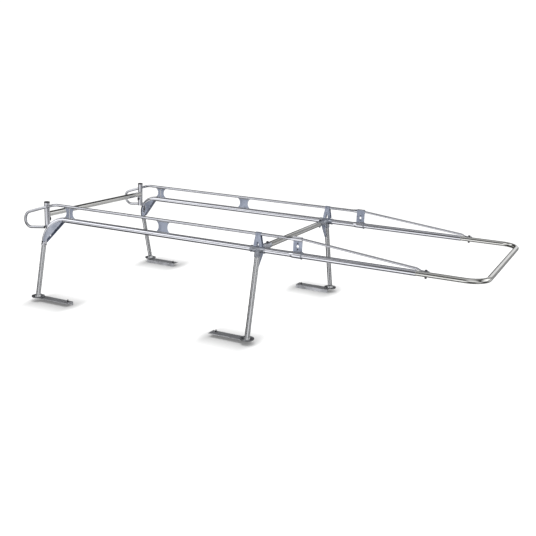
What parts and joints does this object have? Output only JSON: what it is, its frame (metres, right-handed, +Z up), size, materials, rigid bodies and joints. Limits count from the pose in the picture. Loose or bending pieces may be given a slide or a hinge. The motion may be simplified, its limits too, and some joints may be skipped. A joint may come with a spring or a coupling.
{
  "type": "ladder rack",
  "caption": "Over-cab pickup ladder rack of bent tube, with splayed legs on bed angles, double side rails, gusset plates, a front hoop and a lift-out rear crossbar.",
  "frame": {"origin": "centre of the bounding box seen from above, on the plane of the lowest edges of the bed angles", "axes": "+X forwards over the cab, +Y to the truck's left, +Z up"},
  "size_m": [4.2562, 1.9556, 0.906],
  "materials": {
    "polished_tube": "polished tube, bright, sharp highlights along its length",
    "matte_plate": "flat mill-finish plate, satin, grey with a cool cast",
    "cast_fitting": "cast and machined fitting, duller than the tube",
    "dark_steel": "dark plated bolt",
    "black_plastic": "black moulded cap or knob"
  },
  "bodies": {
    "frame": {"side_rail_R": "polished_tube", "side_rail_L": "polished_tube", "corner_cheek_outer_R": "matte_plate", "corner_cheek_outer_L": "matte_plate", "corner_cheek_inner_R": "matte_plate", "corner_cheek_inner_L": "matte_plate", "rear_leg_R": "polished_tube", "rear_leg_L": "polished_tube", "front_leg_R": "polished_tube", "front_leg_L": "polished_tube", "tee_R": "cast_fitting", "tee_L": "cast_fitting", "crossbar_socket_R": "cast_fitting", "crossbar_socket_L": "cast_fitting", "crossbar_bolt_R": "dark_steel", "crossbar_bolt_L": "dark_steel", "leg_gusset_R": "matte_plate", "leg_gusset_L": "matte_plate", "upper_rail_R": "polished_tube", "upper_rail_L": "polished_tube", "rear_gusset_R": "matte_plate", "rear_gusset_L": "matte_plate", "mid_gusset_R": "matte_plate", "mid_gusset_L": "matte_plate", "saddle_R": "matte_plate", "saddle_L": "matte_plate", "end_plate_R": "matte_plate", "end_plate_L": "matte_plate", "coupling_ring_R": "cast_fitting", "coupling_ring_L": "cast_fitting", "front_tube_R": "polished_tube", "front_tube_L": "polished_tube", "brace_R": "polished_tube", "brace_L": "polished_tube", "brace_bolt_R": "dark_steel", "brace_bolt_L": "dark_steel", "rear_foot_cup_R": "cast_fitting", "rear_foot_cup_L": "cast_fitting", "front_foot_cup_R": "cast_fitting", "front_foot_cup_L": "cast_fitting", "front_bed_angle_R": "matte_plate", "front_bed_angle_L": "matte_plate", "rear_bed_angle_R": "matte_plate", "rear_bed_angle_L": "matte_plate", "front_angle_bolt_R": "dark_steel", "front_angle_bolt_L": "dark_steel", "rear_angle_bolt_R": "dark_steel", "rear_angle_bolt_L": "dark_steel", "mid_crossbar": "polished_tube", "front_hoop": "polished_tube"},
    "rear_unit": {"rear_crossbar": "polished_tube", "rear_post_R": "polished_tube", "rear_post_L": "polished_tube", "post_cap_R": "black_plastic", "post_cap_L": "black_plastic"},
    "clamp_screw_R": {"lock_handle_R": "black_plastic"},
    "clamp_screw_L": {"lock_handle_L": "black_plastic"}
  },
  "joints": [
    {"name": "rear_unit_lift", "type": "slide", "parent": "frame", "child": "rear_unit", "axis": [0, 0, 1], "range_m": [0, 0.12]},
    {"name": "clamp_screw_turn_R", "type": "hinge", "parent": "rear_unit", "child": "clamp_screw_R", "pos_m": [-1.894, -0.705, 0.738], "axis": [0, 1, 0], "range_deg": [0, 180]},
    {"name": "clamp_screw_turn_L", "type": "hinge", "parent": "rear_unit", "child": "clamp_screw_L", "pos_m": [-1.894, 0.705, 0.738], "axis": [0, -1, 0], "range_deg": [0, 180]}
  ]
}
